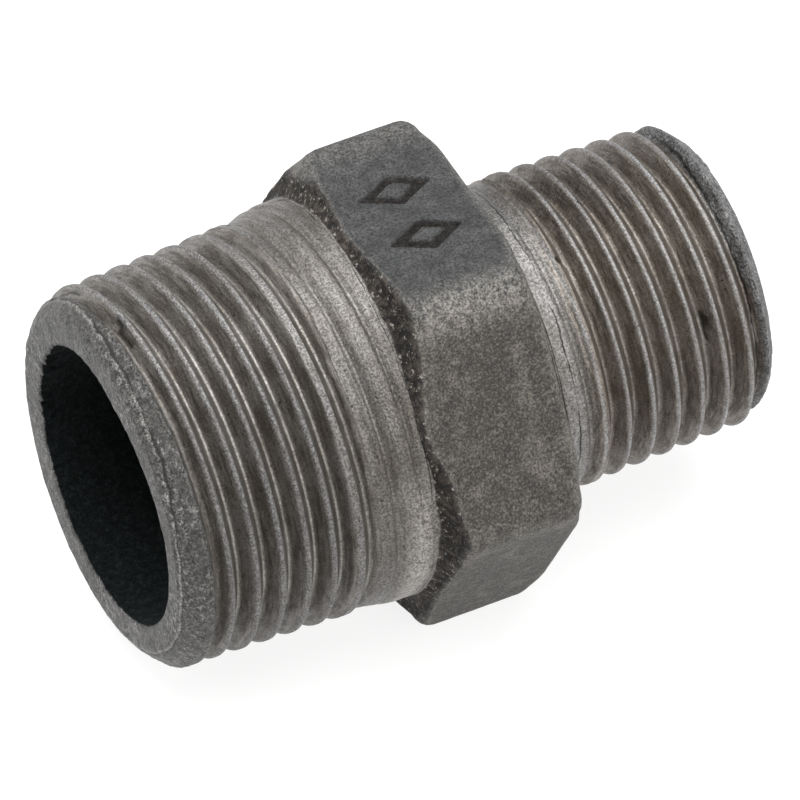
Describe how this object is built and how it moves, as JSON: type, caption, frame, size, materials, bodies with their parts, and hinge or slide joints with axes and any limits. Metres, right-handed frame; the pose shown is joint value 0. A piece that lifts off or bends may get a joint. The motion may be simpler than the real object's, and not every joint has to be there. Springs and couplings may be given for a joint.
{
  "type": "reducing hexagon nipple",
  "caption": "Cast iron reducing hexagon nipple that joins two internally threaded pipe fittings of different bore, with a spanner hexagon between its taper threads.",
  "frame": {"origin": "on the bore's axis, half-way along the part", "axes": "+X along the bore from the large end to the small end; +Z out of the hexagon flat that carries the cast mark; +Y completes the right-handed frame and passes through a corner of the hexagon"},
  "size_m": [0.0446, 0.033, 0.029],
  "materials": {
    "cast_iron": "black malleable cast skin on the hexagon, bare machined metal on the threads, neck, collar and end faces"
  },
  "bodies": {
    "root": {"nipple_body": "cast_iron"}
  },
  "joints": []
}
